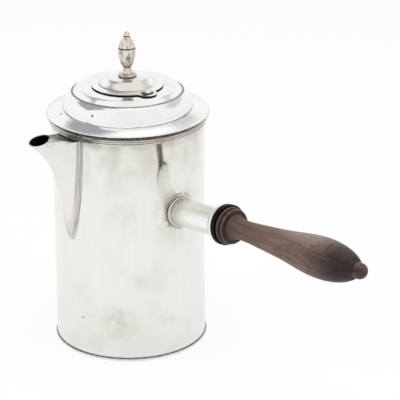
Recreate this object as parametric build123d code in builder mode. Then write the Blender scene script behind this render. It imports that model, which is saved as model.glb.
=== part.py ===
"""Chocolate pot: a straight silver body with a covered beak spout, a turned wooden
side handle in a silver socket, a lift-off lid, and on the lid a small cover that
swings about a rivet to open the hole for the stirring rod.

Millimetres, +Z up. The origin is on the table under the middle of the body, the
spout points along -Y and the handle along +X.
"""
import os
from math import asin, atan, atan2, cos, degrees, hypot, radians, sin, sqrt, tan

from build123d import *

os.makedirs("parts", exist_ok=True)

# ---------------------------------------------------------------- driving sizes
# Body
FOOT_RADIUS = 55.0          # outside of the body at the table
MOUTH_RADIUS = 54.4         # outside of the body at its top edge
BODY_HEIGHT = 171.0
BODY_SHEET = 0.8            # thickness of the silver sheet
BASE_RISE = 2.2             # underside of the base plate above the table
BASE_SHEET = 1.0
BASE_DOME = 1.6             # how far the middle of the base plate is pushed up
BASE_SLOPE_RADIUS = 38.0    # where the plate has risen half of that
FOOT_WIRE_HEIGHT = 2.2
FOOT_WIRE_PROUD = 1.0
REED_COUNT = 4
REED_PITCH = 1.45
REED_STRIP = 0.9            # thickness of the strip that carries the reeds
REED_DROP = 0.2             # top of the reeded band below the top edge of the body

# Spout
ROOF_DROP = 0.4             # root of the spout's roof below the reeded band
SPOUT_LENGTH = 74.6         # from the roof's root down to the tip on the body
MOUTH_REACH = 25.2          # middle of the mouth from the body's surface
MOUTH_RISE = 3.9            # middle of the mouth above the roof's root
MOUTH_TILT = 15.6           # degrees, the mouth falls outwards
NOSE_RADIUS = 7.9           # outside of the round front of the beak, and of its mouth
SPOUT_SHEET = 1.0
KEEL_REACH = 14.0           # reach gained evenly from the tip to the mouth's height
KEEL_FLARE_POWER = 4.5      # how late the rest of the reach is gained
MOUTH_FLANK_ANGLE = 8.5     # degrees between the beak's side and its middle plane
TIP_FLANK_ANGLE = 69.0
FLANK_POWER = 1.45
ROOF_HOLLOW = 0.9           # depth of the hollow along the roof
ROOF_CORNER_ANGLE = 46.5    # degrees round the mouth from its back to the roof's edge
ROOF_BOW = 0.3              # how far the roof's edges bow outwards
MOUTH_ROUND_SHARE = 0.97    # the mouth's sides are this near to a true circle
BEAK_ROOT_DEPTH = 6.0       # the beak is drawn this far inside the body's surface
BEAK_RUN_ON = 3.5           # ... and this far below its tip
LEVEL_SECTIONS = 9
TURNED_SECTIONS = 3
FANNED_SECTIONS = 5
WINDOW_WIDTH = 13.0         # opening through the body behind the spout
WINDOW_HEIGHT = 42.0
WINDOW_BELOW_ROOF = 5.2

# Handle socket and grip
SOCKET_HEIGHT = 110.5       # middle of the socket where it meets the body
SOCKET_RAKE = 6.5           # degrees, rising outwards
SOCKET_LENGTH = 49.0
SOCKET_RADIUS = 10.3
SOCKET_SHEET = 1.1
SOCKET_TAPER = 0.35         # the tube is this much slimmer at the body
FLARE_LENGTH = 6.0
FLARE_RADIUS = 12.6
COLLAR_PROUD = 0.8
COLLAR_WIDTH = 2.0
RIM_RADIUS = 14.1
RIM_WIDTH = 3.2
WASHER_RADIUS = 14.3
WASHER_WIDTH = 3.4
GRIP_RAKE = 3.0             # degrees; the wood has settled below the socket's line
GRIP_LENGTH = 129.2         # washer to the end of the knob
BEAD_RADIUS = 13.3          # first and larger bead at the shoulder
BEAD_WIDTH = 2.8
SECOND_BEAD_RADIUS = 12.4
SECOND_BEAD_WIDTH = 3.0
BEAD_GROOVE = 0.9           # depth of the groove beside each bead
NECK_RADIUS = 7.2
NECK_AT = 16.0              # distances along the grip from its shoulder
HALF_SWELL_AT = 59.0        # where the grip is half way from neck to swell
SWELL_RADIUS = 14.0
SWELL_AT = 90.5
SWELL_STOP_RADIUS = 7.15    # where the oval after the swell stops
WAIST_RADIUS = 4.4          # groove between the oval and the ball
WAIST_WIDTH = 1.1
KNOB_RADIUS = 5.5
TENON_LENGTH = 34.0
TENON_CLEARANCE = 0.15
PIN_RADIUS = 1.1
PIN_HEAD_RADIUS = 1.9
PIN_HEAD_PROUD = 0.7
PIN_FROM_RIM = 17.0

# Lid
LID_SEAT_GAP = 0.3          # lid above the top edge of the body
LID_SHEET = 0.8
FLANGE_OVERHANG = 4.1       # rolled rim outside the body
RIM_WIRE_HEIGHT = 1.6
FLANGE_RISE = 3.0           # from the rim up to the foot of the dome
FLANGE_BEND_RADIUS = 55.2   # the flange is flat outside this and slopes up inside it
FLANGE_HOLLOW = 0.2         # how far the slope is hollowed
DOME_FOOT_RADIUS = 46.8
DOME_TOP_RADIUS = 38.0
DOME_HEIGHT = 12.8          # foot of the dome to its flat top
BEZEL_DEPTH = 10.0
BEZEL_CLEARANCE = 0.35
PLATE_RADIUS = 38.6         # raised plate on the dome
PLATE_HEIGHT = 3.2
PLATE_ROLL_WIDTH = 4.2      # the plate's top rolls over its edge from this far in ...
PLATE_ROLL_DROP = 1.4       # ... down to this far below the top
PLATE_TUCK = 0.8            # the edge draws in again by this much at its foot
PLATE_WALL = 3.0            # width of the plate's solid edge
STIR_HOLE_RADIUS = 14.0     # hole for the stirring rod

# Swinging cover
LID_TURN = -7.5             # degrees from the handle to the rivet, seen from above
PIVOT_REACH = 26.0          # rivet from the middle of the lid
COVER_RADIUS = 25.7
COVER_SHEET = 0.8
COVER_DOME_RADIUS = 20.2
COVER_DOME_HEIGHT = 5.7     # above the brim
LUG_RADIUS = 6.6
LUG_FILLET = 3.0            # where the lug runs into the brim
RIVET_RADIUS = 1.6
RIVET_HEAD_RADIUS = 3.8
RIVET_HEAD_HEIGHT = 1.7
SPACER_THICKNESS = 0.55
SPACER_RADIUS = 3.6
RUNNING_FIT = 0.06          # lug on the rivet, and between the turning faces
BURR_RADIUS = 2.9           # washer under the rivet's tail
BURR_THICKNESS = 0.5
TAIL_HEIGHT = 0.8

# Finial
FINIAL_FOOT_RADIUS = 6.7
FINIAL_FOOT_HEIGHT = 6.6
FOOT_RING_HEIGHT = 1.3
UPPER_RING_RADIUS = 5.4
UPPER_RING_HEIGHT = 0.8
FOOT_WAIST_RADIUS = 3.6     # the foot's hollow curve passes this radius ...
FOOT_WAIST_RISE = 1.9       # ... this far above the rings
FINIAL_NECK_RADIUS = 2.6
URN_RADIUS = 6.6
URN_HEIGHT = 14.0
URN_RIM_HEIGHT = 1.4
URN_BELLY_RADIUS = 5.7      # the urn's side passes this radius ...
URN_BELLY_RISE = 6.3        # ... this far above the neck
CAP_HEIGHT = 8.4
CAP_RADIUS = 5.7
CAP_SHOULDER_RADIUS = 4.4   # the cap's side passes this radius ...
CAP_SHOULDER_RISE = 4.6     # ... this far above the urn
BUTTON_RADIUS = 2.0
BUTTON_HEIGHT = 3.4
BUTTON_GROOVE = 0.5         # grooves under the button and under the cap
STUD_RADIUS = 1.3
STUD_BELOW = 4.6            # length of the stud inside the cover
STUD_INTO_URN = 7.0
NUT_RADIUS = 3.2
NUT_HEIGHT = 2.2
NUT_SIDES = 6

# ---------------------------------------------------------------- shared places


def body_outside(z):
    """Radius of the body's outer face at a height; the body narrows slightly."""
    return FOOT_RADIUS + (MOUTH_RADIUS - FOOT_RADIUS) * z / BODY_HEIGHT


def body_inside(z):
    return body_outside(z) - BODY_SHEET


def save(part, name):
    part.label = name
    export_step(part, f"parts/{name}.step")


with BuildPart() as body_core:
    with BuildSketch(Plane.XZ):
        with BuildLine():
            Polyline(
                (0, 0),
                (FOOT_RADIUS, 0),
                (MOUTH_RADIUS, BODY_HEIGHT),
                (0, BODY_HEIGHT),
                close=True,
            )
        make_face()
    revolve(axis=Axis.Z)

# ---------------------------------------------------------------- body
band_top = BODY_HEIGHT - REED_DROP
band_bottom = band_top - REED_COUNT * REED_PITCH
roof_root = band_bottom - ROOF_DROP

with BuildPart() as body_wall:
    with BuildSketch(Plane.XZ):
        with BuildLine():
            Polyline(
                (body_inside(0), 0),
                (FOOT_RADIUS, 0),
                (MOUTH_RADIUS, BODY_HEIGHT),
                (body_inside(BODY_HEIGHT), BODY_HEIGHT),
                close=True,
            )
        make_face()
    revolve(axis=Axis.Z)
    # The way through to the spout, rounded at both ends
    window_middle = roof_root - WINDOW_BELOW_ROOF - WINDOW_HEIGHT / 2
    with BuildSketch(Plane.XZ):
        with Locations((0, window_middle)):
            SlotOverall(WINDOW_HEIGHT, WINDOW_WIDTH, rotation=90)
    extrude(amount=2 * body_outside(window_middle), mode=Mode.SUBTRACT)
save(body_wall.part, "body_wall")

with BuildPart() as base_plate:
    top = BASE_RISE + BASE_SHEET
    with BuildSketch(Plane.XZ):
        with BuildLine():
            Line((0, BASE_RISE + BASE_DOME), (0, top + BASE_DOME))
            Spline(
                (0, top + BASE_DOME),
                (BASE_SLOPE_RADIUS, top + BASE_DOME / 2),
                (body_inside(top), top),
                tangents=((1, 0), (1, 0)),
            )
            Line((body_inside(top), top), (body_inside(BASE_RISE), BASE_RISE))
            Spline(
                (body_inside(BASE_RISE), BASE_RISE),
                (BASE_SLOPE_RADIUS, BASE_RISE + BASE_DOME / 2),
                (0, BASE_RISE + BASE_DOME),
                tangents=((-1, 0), (-1, 0)),
            )
        make_face()
    revolve(axis=Axis.Z)
save(base_plate.part, "base_plate")

with BuildPart() as foot_ring:
    with BuildSketch(Plane.XZ):
        with BuildLine():
            ThreePointArc(
                (FOOT_RADIUS, 0),
                (FOOT_RADIUS + FOOT_WIRE_PROUD, FOOT_WIRE_HEIGHT / 2),
                (body_outside(FOOT_WIRE_HEIGHT), FOOT_WIRE_HEIGHT),
            )
            Line((body_outside(FOOT_WIRE_HEIGHT), FOOT_WIRE_HEIGHT), (FOOT_RADIUS, 0))
        make_face()
    revolve(axis=Axis.Z)
save(foot_ring.part, "foot_ring")

with BuildPart() as mouth_band:
    strip_outside = body_outside(band_bottom) + REED_STRIP
    with BuildSketch(Plane.XZ):
        with BuildLine():
            Line((body_outside(band_top), band_top), (strip_outside, band_top))
            for reed in range(REED_COUNT):
                reed_top = band_top - reed * REED_PITCH
                ThreePointArc(
                    (strip_outside, reed_top),
                    (strip_outside + REED_PITCH / 2, reed_top - REED_PITCH / 2),
                    (strip_outside, reed_top - REED_PITCH),
                )
            Polyline(
                (strip_outside, band_bottom),
                (body_outside(band_bottom), band_bottom),
                (body_outside(band_top), band_top),
            )
        make_face()
    revolve(axis=Axis.Z)
save(mouth_band.part, "mouth_band")

# ---------------------------------------------------------------- spout
# The beak is lofted through sections that have a round front, straight sides and a
# flat back. They are level up to the roof's root, with their backs inside the body.
# From there they fan out: each back climbs the roof and each section tilts more,
# until the last one is the round mouth.
spout_wall = body_outside(roof_root)
spout_tip = roof_root - SPOUT_LENGTH
mouth_middle = spout_wall + MOUTH_REACH
mouth_height = roof_root + MOUTH_RISE
mouth_run = NOSE_RADIUS * cos(radians(MOUTH_TILT))
mouth_fall = NOSE_RADIUS * sin(radians(MOUTH_TILT))
lip_height = mouth_height - mouth_fall
roof_run = mouth_middle - mouth_run - spout_wall
roof_climb = mouth_height + mouth_fall - roof_root
roof_root_slope = atan((roof_climb - 4 * ROOF_HOLLOW) / roof_run)


def keel_reach(z):
    """Distance of the beak's front from the pot's axis at a height."""
    rise = (z - spout_tip) / (lip_height - spout_tip)
    flare = MOUTH_REACH + mouth_run - KEEL_REACH
    return spout_wall + KEEL_REACH * rise + flare * max(rise, 0) ** KEEL_FLARE_POWER


def flank_angle(z):
    """Angle between the beak's side and its middle plane at a height."""
    drop = max(lip_height - z, 0) / (lip_height - spout_tip)
    spread = TIP_FLANK_ANGLE - MOUTH_FLANK_ANGLE
    return radians(MOUTH_FLANK_ANGLE + spread * drop**FLANK_POWER)


def beak_outline(plane, back, back_half, bulge, middle, nose, angle, swell):
    """Round front, two sides and a back; local -Y runs out to the front."""
    touch = -middle - nose * sin(angle)
    touch_half = nose * cos(angle)
    corner = -back - bulge
    with BuildSketch(plane) as section:
        with BuildLine():
            ThreePointArc((-touch_half, touch), (0, -middle - nose), (touch_half, touch))
            if swell:
                side = Vector(touch_half - back_half, touch - corner)
                swollen = side.rotate(Axis.Z, 90).normalized() * swell
                half_way = Vector(back_half, corner) + side / 2 + swollen
                right = (half_way.X, half_way.Y)
                left = (-half_way.X, half_way.Y)
                ThreePointArc((touch_half, touch), right, (back_half, corner))
                ThreePointArc((back_half, corner), (0, -back), (-back_half, corner))
                ThreePointArc((-back_half, corner), left, (-touch_half, touch))
            else:
                Polyline(
                    (touch_half, touch),
                    (back_half, corner),
                    (-back_half, corner),
                    (-touch_half, touch),
                )
        make_face()
    return section.sketch


def level_section(z, back, inset):
    """Level section of the beak with its back at a given reach."""
    nose = NOSE_RADIUS - inset
    middle = keel_reach(z) - NOSE_RADIUS
    angle = flank_angle(z)
    back_half = nose * cos(angle) + (middle + nose * sin(angle) - back) * tan(angle)
    return beak_outline(Plane.XY.offset(z), back, back_half, 0, middle, nose, angle, 0)


def fanned_section(climb, inset):
    """Section whose back has climbed a share of the roof; climb 1 is the mouth."""
    nose = NOSE_RADIUS - inset
    hump = 4 * climb * (1 - climb)
    back = spout_wall + roof_run * climb
    back_height = roof_root + roof_climb * climb - ROOF_HOLLOW * hump
    front_height = roof_root + (lip_height - roof_root) * climb
    run = keel_reach(front_height) - back
    tilt = atan2(back_height - front_height, run)
    plane = Plane(
        origin=(0, -back, back_height), x_dir=(1, 0, 0), z_dir=(0, -sin(tilt), cos(tilt))
    )
    middle = hypot(back_height - front_height, run) - NOSE_RADIUS
    angle = flank_angle(front_height)
    root_middle = keel_reach(roof_root) - NOSE_RADIUS - spout_wall
    root_half = nose * cos(angle) + (root_middle + nose * sin(angle)) * tan(angle)
    corner = radians(ROOF_CORNER_ANGLE)
    back_half = root_half + (nose * sin(corner) - root_half) * climb + ROOF_BOW * hump
    bulge = nose * (1 - cos(corner)) * climb**2
    side_rise = nose * (1 - cos((radians(90) + angle - corner) / 2))
    swell = side_rise * MOUTH_ROUND_SHARE * climb**2
    # Under the roof the sheet's thickness is measured square to the roof
    inner_back = inset * (1 + (1 / sin(roof_root_slope) - 1) * (1 - climb) ** 2)
    return beak_outline(plane, inner_back, back_half, bulge, middle, nose, angle, swell)


def beak(inset):
    """All sections of the beak from below its tip to its mouth."""
    bottom = spout_tip - BEAK_RUN_ON
    step = (roof_root - BEAK_ROOT_DEPTH - bottom) / LEVEL_SECTIONS
    turn_radius = BEAK_ROOT_DEPTH - inset
    sections = []
    for i in range(LEVEL_SECTIONS):
        sections.append(level_section(bottom + i * step, spout_wall - turn_radius, inset))
    for i in range(TURNED_SECTIONS):
        turn = radians(90 * i / TURNED_SECTIONS)
        height = roof_root - BEAK_ROOT_DEPTH + turn_radius * sin(turn)
        sections.append(level_section(height, spout_wall - turn_radius * cos(turn), inset))
    for i in range(FANNED_SECTIONS):
        sections.append(fanned_section(i / (FANNED_SECTIONS - 1), inset))
    return sections


with BuildPart() as beak_cavity:
    loft(beak(SPOUT_SHEET), ruled=True)

with BuildPart() as spout:
    loft(beak(0))
    add(beak_cavity.part, mode=Mode.SUBTRACT)
    add(body_core.part, mode=Mode.SUBTRACT)
save(spout.part, "spout")

# ---------------------------------------------------------------- handle
# The socket rises a little from the body; the wooden grip sits a few degrees lower,
# and the washer between them is cut to that angle.


def along(start, rake):
    """Plane for turned work: local X runs out along the handle, local Y is its radius."""
    run = (cos(radians(rake)), 0, sin(radians(rake)))
    return Plane(origin=start, x_dir=run, z_dir=(0, -1, 0))


socket_root = Vector(body_outside(SOCKET_HEIGHT), 0, SOCKET_HEIGHT)
socket_plane = along(socket_root, SOCKET_RAKE)
socket_axis = Axis(socket_root, socket_plane.x_dir)
shoulder = socket_root + socket_plane.x_dir * (SOCKET_LENGTH + WASHER_WIDTH)
grip_plane = along(shoulder, GRIP_RAKE)
grip_axis = Axis(shoulder, grip_plane.x_dir)

inside_wall = -SOCKET_RADIUS / 2
rim_start = SOCKET_LENGTH - RIM_WIDTH
flare_start = rim_start - FLARE_LENGTH
root_radius = SOCKET_RADIUS - SOCKET_TAPER
bore_radius = root_radius - SOCKET_SHEET
tenon_radius = bore_radius - TENON_CLEARANCE

# The pin goes up through the underside of the socket into the tenon
pin_place = socket_root + socket_plane.x_dir * (SOCKET_LENGTH - PIN_FROM_RIM)
pin_plane = Plane(origin=pin_place, x_dir=socket_plane.x_dir, z_dir=(0, 1, 0))
pin_axis = Axis(pin_place, pin_plane.y_dir)
pin_top = -tenon_radius / 2

with BuildPart() as pin_hole:
    with BuildSketch(pin_plane):
        with Locations((0, pin_top)):
            Rectangle(PIN_RADIUS, 2 * SOCKET_RADIUS, align=(Align.MIN, Align.MIN))
    revolve(axis=pin_axis)

with BuildPart() as handle_socket:
    with BuildSketch(socket_plane):
        with BuildLine():
            Polyline(
                (SOCKET_LENGTH, bore_radius),
                (inside_wall, bore_radius),
                (inside_wall, root_radius),
                (0, root_radius),
                (flare_start, SOCKET_RADIUS),
            )
            TangentArc(
                (flare_start, SOCKET_RADIUS),
                (rim_start, FLARE_RADIUS),
                tangent=(flare_start, SOCKET_TAPER),
            )
            Polyline(
                (rim_start, FLARE_RADIUS),
                (SOCKET_LENGTH, FLARE_RADIUS),
                (SOCKET_LENGTH, bore_radius),
            )
        make_face()
    revolve(axis=socket_axis)
    add(body_core.part, mode=Mode.SUBTRACT)
    add(pin_hole.part, mode=Mode.SUBTRACT)
save(handle_socket.part, "handle_socket")

with BuildPart() as socket_collar:
    collar_radius = root_radius + COLLAR_PROUD
    with BuildSketch(socket_plane):
        with BuildLine():
            Polyline(
                (COLLAR_WIDTH, root_radius),
                (inside_wall, root_radius),
                (inside_wall, collar_radius),
                (COLLAR_WIDTH / 2, collar_radius),
            )
            TangentArc(
                (COLLAR_WIDTH / 2, collar_radius),
                (COLLAR_WIDTH, root_radius),
                tangent=(1, 0),
            )
        make_face()
    revolve(axis=socket_axis)
    add(body_core.part, mode=Mode.SUBTRACT)
    add(handle_socket.part, mode=Mode.SUBTRACT)
save(socket_collar.part, "socket_collar")

with BuildPart() as socket_rim:
    with BuildSketch(socket_plane):
        with BuildLine():
            Line((SOCKET_LENGTH, FLARE_RADIUS), (rim_start, FLARE_RADIUS))
            ThreePointArc(
                (rim_start, FLARE_RADIUS),
                (rim_start + RIM_WIDTH / 2, RIM_RADIUS),
                (SOCKET_LENGTH, FLARE_RADIUS),
            )
        make_face()
    revolve(axis=socket_axis)
save(socket_rim.part, "socket_rim")

with BuildPart() as tenon:
    with BuildSketch(socket_plane):
        with Locations((SOCKET_LENGTH - TENON_LENGTH, 0)):
            tenon_reach = TENON_LENGTH + 2 * WASHER_WIDTH
            Rectangle(tenon_reach, tenon_radius, align=(Align.MIN, Align.MIN))
    revolve(axis=socket_axis)

with BuildPart() as handle_washer:
    with BuildSketch(socket_plane):
        with Locations((SOCKET_LENGTH, 0)):
            Rectangle(2 * WASHER_WIDTH, WASHER_RADIUS, align=(Align.MIN, Align.MIN))
    revolve(axis=socket_axis)
    split(bisect_by=Plane(origin=shoulder, z_dir=grip_plane.x_dir), keep=Keep.BOTTOM)
    add(tenon.part, mode=Mode.SUBTRACT)
save(handle_washer.part, "handle_washer")

# The grip is turned in one piece: a tenon, two beads at the shoulder, a slim neck
# that swells to a long oval, and a ball at the end
bead_root = BEAD_RADIUS - BEAD_GROOVE
second_root = SECOND_BEAD_RADIUS - BEAD_GROOVE
second_start = BEAD_WIDTH + BEAD_GROOVE / 2
beads_end = second_start + SECOND_BEAD_WIDTH
knob_middle = GRIP_LENGTH - KNOB_RADIUS
waist_before_knob = sqrt(KNOB_RADIUS**2 - WAIST_RADIUS**2)
waist_at = knob_middle - waist_before_knob
oval_end = waist_at - WAIST_WIDTH
oval_stop = degrees(asin(SWELL_STOP_RADIUS / SWELL_RADIUS))
oval_half_length = (oval_end - SWELL_AT) / cos(radians(oval_stop))
cove = (NECK_AT - beads_end) / 10

with BuildPart() as handle_grip:
    with BuildSketch(grip_plane):
        with BuildLine():
            Line((0, 0), (0, bead_root))
            ThreePointArc((0, bead_root), (BEAD_WIDTH / 2, BEAD_RADIUS), (BEAD_WIDTH, bead_root))
            Polyline(
                (BEAD_WIDTH, bead_root),
                (BEAD_WIDTH, second_root),
                (second_start, second_root),
            )
            ThreePointArc(
                (second_start, second_root),
                (second_start + SECOND_BEAD_WIDTH / 2, SECOND_BEAD_RADIUS),
                (beads_end, second_root),
            )
            Line((beads_end, second_root), (beads_end, NECK_RADIUS + 2 * cove))
            Spline(
                (beads_end, NECK_RADIUS + 2 * cove),
                (beads_end + 3 * cove, NECK_RADIUS + cove / 2),
                (NECK_AT, NECK_RADIUS),
                tangents=((1, -1.5), (1, 0)),
            )
            Spline(
                (NECK_AT, NECK_RADIUS),
                (HALF_SWELL_AT, (NECK_RADIUS + SWELL_RADIUS) / 2),
                (SWELL_AT, SWELL_RADIUS),
                tangents=((1, 0), (1, 0)),
            )
            EllipticalCenterArc(
                (SWELL_AT, 0),
                oval_half_length,
                SWELL_RADIUS,
                start_angle=oval_stop,
                arc_size=90 - oval_stop,
            )
            Line((oval_end, SWELL_STOP_RADIUS), (waist_at, WAIST_RADIUS))
            ThreePointArc(
                (waist_at, WAIST_RADIUS),
                (knob_middle, KNOB_RADIUS),
                (GRIP_LENGTH, 0),
            )
            Line((GRIP_LENGTH, 0), (0, 0))
        make_face()
    revolve(axis=grip_axis)
    add(tenon.part)
    add(pin_hole.part, mode=Mode.SUBTRACT)
save(handle_grip.part, "handle_grip")

with BuildPart() as handle_pin:
    with BuildSketch(pin_plane):
        with BuildLine():
            Polyline(
                (0, SOCKET_RADIUS + PIN_HEAD_PROUD),
                (0, pin_top),
                (PIN_RADIUS, pin_top),
                (PIN_RADIUS, bore_radius + SOCKET_SHEET / 2),
                (PIN_HEAD_RADIUS, bore_radius + SOCKET_SHEET / 2),
                (PIN_HEAD_RADIUS, SOCKET_RADIUS),
            )
            RadiusArc(
                (PIN_HEAD_RADIUS, SOCKET_RADIUS),
                (0, SOCKET_RADIUS + PIN_HEAD_PROUD),
                -(PIN_HEAD_RADIUS**2 + PIN_HEAD_PROUD**2) / (2 * PIN_HEAD_PROUD),
            )
        make_face()
    revolve(axis=pin_axis)
    add(handle_socket.part, mode=Mode.SUBTRACT)
save(handle_pin.part, "handle_pin")

# ---------------------------------------------------------------- lid
lid_seat = BODY_HEIGHT + LID_SEAT_GAP
flange_top = lid_seat + LID_SHEET
flange_radius = MOUTH_RADIUS + FLANGE_OVERHANG - RIM_WIRE_HEIGHT / 2
bezel_outside = body_inside(BODY_HEIGHT) - BEZEL_CLEARANCE
bezel_inside = bezel_outside - LID_SHEET
dome_foot = flange_top + FLANGE_RISE
dome_top = dome_foot + DOME_HEIGHT
dome_run = DOME_FOOT_RADIUS - DOME_TOP_RADIUS
collar_outside = STIR_HOLE_RADIUS + LID_SHEET
plate_top = dome_top + PLATE_HEIGHT

with BuildPart() as lid_dome:
    with BuildSketch(Plane.XZ):
        with BuildLine():
            # outside: flat over the body's edge, a hollow slope, then the swelling dome
            Polyline(
                (flange_radius, lid_seat),
                (flange_radius, flange_top),
                (FLANGE_BEND_RADIUS, flange_top),
            )
            ThreePointArc(
                (FLANGE_BEND_RADIUS, flange_top),
                (
                    (FLANGE_BEND_RADIUS + DOME_FOOT_RADIUS) / 2,
                    flange_top + FLANGE_RISE / 2 - FLANGE_HOLLOW,
                ),
                (DOME_FOOT_RADIUS, dome_foot),
            )
            EllipticalCenterArc(
                (DOME_TOP_RADIUS, dome_foot), dome_run, DOME_HEIGHT, start_angle=0, arc_size=90
            )
            Polyline(
                (DOME_TOP_RADIUS, dome_top),
                (collar_outside, dome_top),
                (collar_outside, dome_top - LID_SHEET),
                (DOME_TOP_RADIUS, dome_top - LID_SHEET),
            )
            # inside: the same lines one sheet in
            EllipticalCenterArc(
                (DOME_TOP_RADIUS, dome_foot),
                dome_run - LID_SHEET,
                DOME_HEIGHT - LID_SHEET,
                start_angle=0,
                arc_size=90,
            )
            Polyline(
                (DOME_FOOT_RADIUS - LID_SHEET, dome_foot),
                (DOME_FOOT_RADIUS - LID_SHEET, dome_foot - LID_SHEET),
                (bezel_inside - LID_SHEET, flange_top),
                (bezel_inside, lid_seat),
                (flange_radius, lid_seat),
            )
        make_face()
    revolve(axis=Axis.Z)
save(lid_dome.part, "lid_dome")

with BuildPart() as lid_rim_wire:
    wire_top = lid_seat + RIM_WIRE_HEIGHT
    with BuildSketch(Plane.XZ):
        with BuildLine():
            Line((flange_radius, wire_top), (flange_radius, lid_seat))
            ThreePointArc(
                (flange_radius, lid_seat),
                (flange_radius + RIM_WIRE_HEIGHT / 2, lid_seat + RIM_WIRE_HEIGHT / 2),
                (flange_radius, wire_top),
            )
        make_face()
    revolve(axis=Axis.Z)
save(lid_rim_wire.part, "lid_rim_wire")

with BuildPart() as lid_bezel:
    with BuildSketch(Plane.XY.offset(lid_seat - BEZEL_DEPTH)):
        Circle(bezel_outside)
        Circle(bezel_inside, mode=Mode.SUBTRACT)
    extrude(amount=BEZEL_DEPTH)
save(lid_bezel.part, "lid_bezel")

pivot_turn = radians(LID_TURN)
pivot = (PIVOT_REACH * cos(pivot_turn), PIVOT_REACH * sin(pivot_turn))

with BuildPart() as lid_plate:
    roll_foot = plate_top - PLATE_ROLL_DROP
    plate_under = plate_top - LID_SHEET
    wall_inside = PLATE_RADIUS - PLATE_WALL
    with BuildSketch(Plane.XZ):
        with BuildLine():
            EllipticalCenterArc(
                (PLATE_RADIUS - PLATE_TUCK, roll_foot),
                PLATE_TUCK,
                roll_foot - dome_top,
                start_angle=-90,
                arc_size=90,
            )
            EllipticalCenterArc(
                (PLATE_RADIUS - PLATE_ROLL_WIDTH, roll_foot),
                PLATE_ROLL_WIDTH,
                PLATE_ROLL_DROP,
                start_angle=0,
                arc_size=90,
            )
            Polyline(
                (PLATE_RADIUS - PLATE_ROLL_WIDTH, plate_top),
                (STIR_HOLE_RADIUS, plate_top),
                (STIR_HOLE_RADIUS, dome_top - 2 * LID_SHEET),
                (collar_outside, dome_top - 2 * LID_SHEET),
                (collar_outside, plate_under),
                (wall_inside, plate_under),
                (wall_inside, dome_top),
                (PLATE_RADIUS - PLATE_TUCK, dome_top),
            )
        make_face()
    revolve(axis=Axis.Z)
    with BuildSketch(Plane.XY.offset(plate_top)):
        with Locations(pivot):
            Circle(RIVET_RADIUS)
    extrude(amount=-PLATE_HEIGHT, mode=Mode.SUBTRACT)
save(lid_plate.part, "lid_plate")

# ---------------------------------------------------------------- swinging cover
spacer_top = plate_top + SPACER_THICKNESS
brim_under = spacer_top + RUNNING_FIT
brim_top = brim_under + COVER_SHEET
cover_top = brim_top + COVER_DOME_HEIGHT
head_under = brim_top + RUNNING_FIT
burr_under = plate_under - BURR_THICKNESS

with BuildPart() as cover_dome:
    with BuildSketch(Plane.XY.offset(brim_under)) as brim:
        Circle(COVER_RADIUS)
        with Locations(pivot):
            Circle(LUG_RADIUS)
        fillet(brim.vertices(), LUG_FILLET)
    extrude(amount=COVER_SHEET)
    with BuildSketch(Plane.XZ):
        with BuildLine():
            Line((0, brim_top), (COVER_DOME_RADIUS, brim_top))
            EllipticalCenterArc(
                (FINIAL_FOOT_RADIUS, brim_top),
                COVER_DOME_RADIUS - FINIAL_FOOT_RADIUS,
                COVER_DOME_HEIGHT,
                start_angle=0,
                arc_size=90,
            )
            Polyline((FINIAL_FOOT_RADIUS, cover_top), (0, cover_top), (0, brim_top))
        make_face()
    revolve(axis=Axis.Z)
    with BuildSketch(Plane.XZ):
        with BuildLine():
            cover_inside = COVER_DOME_RADIUS - COVER_SHEET
            Polyline(
                (0, cover_top - COVER_SHEET),
                (0, brim_under),
                (cover_inside, brim_under),
                (cover_inside, brim_top),
            )
            EllipticalCenterArc(
                (FINIAL_FOOT_RADIUS, brim_top),
                cover_inside - FINIAL_FOOT_RADIUS,
                COVER_DOME_HEIGHT - COVER_SHEET,
                start_angle=0,
                arc_size=90,
            )
            Line(
                (FINIAL_FOOT_RADIUS, cover_top - COVER_SHEET),
                (0, cover_top - COVER_SHEET),
            )
        make_face()
    revolve(axis=Axis.Z, mode=Mode.SUBTRACT)
    with BuildSketch(Plane.XY.offset(brim_under)):
        with Locations(pivot):
            Circle(RIVET_RADIUS + RUNNING_FIT)
    extrude(amount=COVER_SHEET, mode=Mode.SUBTRACT)
    with BuildSketch(Plane.XY.offset(cover_top)):
        Circle(STUD_RADIUS)
    extrude(amount=-COVER_SHEET, mode=Mode.SUBTRACT)
save(cover_dome.part, "cover_dome")

with BuildPart() as pivot_rivet:
    rivet_plane = Plane(origin=(*pivot, 0), x_dir=(1, 0, 0), z_dir=(0, -1, 0))
    tail_radius = (RIVET_RADIUS + BURR_RADIUS) / 2
    with BuildSketch(rivet_plane):
        with BuildLine():
            Polyline(
                (0, burr_under - TAIL_HEIGHT),
                (tail_radius, burr_under - TAIL_HEIGHT),
                (tail_radius, burr_under),
                (RIVET_RADIUS, burr_under),
                (RIVET_RADIUS, head_under),
                (RIVET_HEAD_RADIUS, head_under),
            )
            RadiusArc(
                (RIVET_HEAD_RADIUS, head_under),
                (0, head_under + RIVET_HEAD_HEIGHT),
                -(RIVET_HEAD_RADIUS**2 + RIVET_HEAD_HEIGHT**2) / (2 * RIVET_HEAD_HEIGHT),
            )
            Line((0, head_under + RIVET_HEAD_HEIGHT), (0, burr_under - TAIL_HEIGHT))
        make_face()
    revolve(axis=Axis((*pivot, 0), (0, 0, 1)))
save(pivot_rivet.part, "pivot_rivet")

with BuildPart() as pivot_spacer:
    with BuildSketch(Plane.XY.offset(plate_top)):
        with Locations(pivot):
            Circle(SPACER_RADIUS)
            Circle(RIVET_RADIUS, mode=Mode.SUBTRACT)
    extrude(amount=SPACER_THICKNESS)
save(pivot_spacer.part, "pivot_spacer")

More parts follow.
